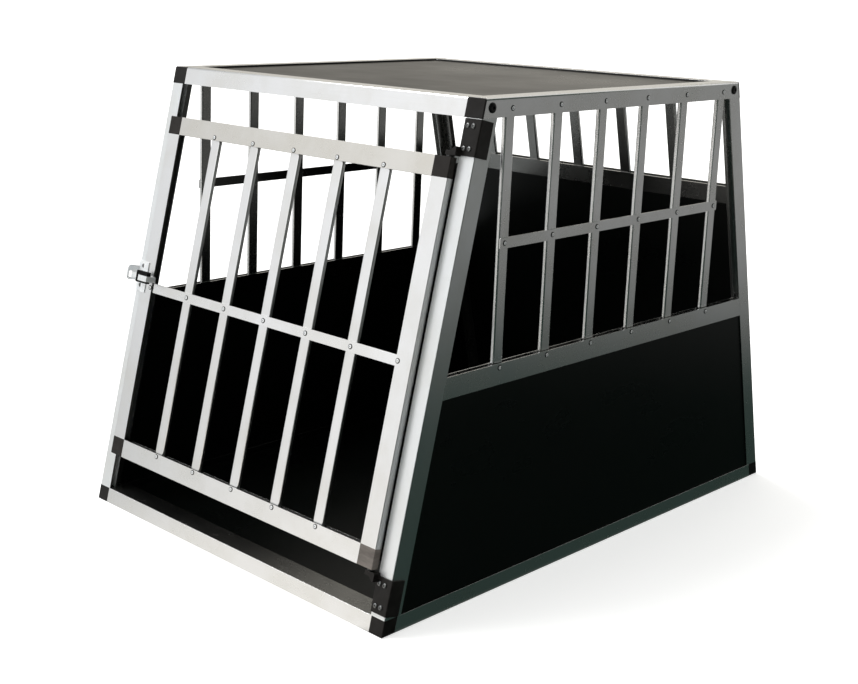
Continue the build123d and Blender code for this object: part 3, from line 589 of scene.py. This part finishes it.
# ---------------------------------------------------------------- black strip for the shadow in the door's gap
def add_gap_shadow_strip():
    """Black lip on the inner side of the right front post, behind the edge of the door: a dark
    strip standing in for the shadow in the gap there.
    """
    post_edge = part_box("post_front_right")[0].x
    middle = Vector((post_edge, *hinge["pos_m"][1:]))
    half_length = 0.265
    # from the post out to the tip and back: distance from the post, depth behind the pins
    profile = (
        (0, 9.8), (1.5, 9.8), (2.6, 10.3), (6.4, 10.1), (6.9, 10.3), (7.1, 10.7),
        (6.9, 11.1), (6.4, 11.3), (2.6, 11.2), (1.5, 12.4), (0, 12.4),
    )
    mesh = bmesh.new()
    rings = []
    for rise in (-half_length, half_length):
        start = middle + front_up * rise
        spots = [start - Vector((x * MM, 0, 0)) - front_out * depth * MM for x, depth in profile]
        rings.append([mesh.verts.new(spot) for spot in spots])
    # a black strip put where there is only the shadow of the gap between door and post
    seal = placed("gap_shadow_strip", as_mesh(bridged(mesh, *rings), "gap_shadow_strip"))
    seal.data.materials.append(materials["rubber"])
    soften(seal, 0.15 * MM)
    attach(seal, "frame")


add_gap_shadow_strip()


# ---------------------------------------------------------------- studio
def add_floor():
    """A plain pale floor. What metal reflects of it is bright at the left and dark at the right."""
    shader = Shader("pale_floor", shine=0.1)
    cloud = shader.noise(shader.place, 6.0, 3.0)
    shader.feed("Base Color", shader.mix(cloud, (0.90, 0.90, 0.895), (0.92, 0.92, 0.915)))
    shader.surface.inputs["Roughness"].default_value = 0.9
    path = shader.add("ShaderNodeLightPath").outputs
    shader.surface.inputs["Emission Color"].default_value = (1, 1, 1, 1)
    shader.feed("Emission Strength", shader.ramp(path["Is Camera Ray"], 0.0, 1.0, 0.0, 0.55))

    spot = shader.split(shader.place)
    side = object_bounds()[1].x
    beyond = shader.number("ADD", spot["X"], spot["Y"])
    right = shader.tone_curve(
        shader.ramp(beyond, side + 0.8, side + 4.0, 0.0, 1.0),
        ((0.0, (0.022, 0.036, 0.031)), (0.17, (0.028, 0.042, 0.037)),
         (0.30, (0.080, 0.086, 0.083)), (0.5, (0.16, 0.165, 0.16)), (1.0, (0.25, 0.25, 0.245))),
    )
    left = shader.tone_curve(
        shader.ramp(spot["X"], -1.0, 0.2, 0.0, 1.0),
        ((0.0, (0.43, 0.45, 0.45)), (0.50, (0.43, 0.45, 0.45)), (0.74, (0.93, 0.90, 0.84)),
         (1.0, (0.90, 0.87, 0.81))),
    )
    towards = shader.split(shader.add("ShaderNodeNewGeometry").outputs["Incoming"])
    far_left = shader.ramp(towards["X"], 0.735, 0.785, 0.0, 1.0)
    grazing = shader.ramp(towards["Z"], 0.12, 0.24, 1.0, 0.0)
    horizon = shader.mix(far_left, (0.96, 0.93, 0.88), (0.34, 0.36, 0.37))
    left = shader.mix(grazing, left, horizon)
    seen = shader.mix(shader.ramp(spot["X"], 0.27, 0.33, 0.0, 1.0), left, right)
    reflected = shader.add("ShaderNodeEmission", {"Color": seen, "Strength": 1.12}).outputs[0]
    inputs = {0: path["Is Glossy Ray"], 1: shader.surface.outputs[0], 2: reflected}
    chosen = shader.add("ShaderNodeMixShader", inputs).outputs[0]
    output = shader.tree.nodes["Material Output"]
    shader.tree.links.new(chosen, output.inputs["Surface"])

    mesh = bmesh.new()
    bmesh.ops.create_grid(mesh, x_segments=1, y_segments=1, size=30)
    floor = placed("floor", as_mesh(mesh, "floor"))
    floor.data.materials.append(shader.material)
    floor.location.z = -0.5 * MM


def add_world():
    """White to the camera; for the object, bright all round but for a dark right-hand side."""
    world = bpy.data.worlds.new("studio")
    bpy.context.scene.world = world
    world.use_nodes = True
    sky = Nodes(world.node_tree)
    direction = sky.split(sky.add("ShaderNodeTexCoord").outputs["Generated"])
    around = sky.tone_curve(
        sky.ramp(direction["X"], -1.0, 1.0, 0.0, 1.0),
        ((0.0, (0.55, 0.56, 0.57)), (0.075, (0.64, 0.65, 0.66)), (0.10, (0.72, 0.73, 0.74)),
         (0.1175, (0.87, 0.87, 0.87)), (0.15, (1.0, 1.0, 1.0)), (0.56, (1.0, 1.0, 1.0)),
         (0.72, (0.215, 0.222, 0.195)), (0.80, (0.055, 0.068, 0.060)),
         (1.0, (0.040, 0.052, 0.046))),
    )
    behind = sky.ramp(direction["Y"], 0.1, 0.5, 0.0, 1.0)
    leftwards = sky.ramp(direction["X"], 0.2, -0.2, 0.0, 1.0)
    over_roof = sky.number("MULTIPLY", behind, leftwards)
    around = sky.mix(over_roof, around, (0.60, 0.575, 0.52), "MULTIPLY")
    to_camera = sky.add("ShaderNodeLightPath").outputs["Is Camera Ray"]
    background = sky.tree.nodes["Background"].inputs
    sky.tree.links.new(sky.mix(to_camera, around, (1, 1, 1)), background["Color"])
    background["Strength"].default_value = 1.12


def add_sun():
    """One broad, soft light from high on the left."""
    lamp = bpy.data.lights.new("soft_sun", "SUN")
    lamp.energy = 1.7
    lamp.angle = radians(30)
    sun = placed("soft_sun", lamp)
    sun.rotation_euler = Vector((-0.45, -0.25, 0.86)).to_track_quat("Z", "Y").to_euler()


def add_camera():
    """A camera at the front right corner, a little above the roof, with its lens shifted."""
    azimuth, elevation, roll = radians(45.972), radians(12.437), radians(1.426)
    back = Vector((sin(azimuth) * cos(elevation), -cos(azimuth) * cos(elevation), sin(elevation)))
    right = Vector((cos(azimuth), sin(azimuth), 0))
    up = back.cross(right)
    level_right = right * cos(roll) + up * sin(roll)
    level_up = up * cos(roll) - right * sin(roll)
    lens = bpy.data.cameras.new("camera")
    lens.lens = 57.58
    lens.sensor_width = 36
    lens.shift_x = 0.1091
    lens.shift_y = -0.0751
    camera = placed("camera", lens)
    turn = Matrix((level_right, level_up, back)).transposed().to_4x4()
    camera.matrix_world = Matrix.Translation((1.4628, -1.6769, 0.8467)) @ turn
    bpy.context.scene.camera = camera


add_floor()
add_world()
add_sun()
add_camera()
bpy.context.scene.view_settings.view_transform = "Standard"

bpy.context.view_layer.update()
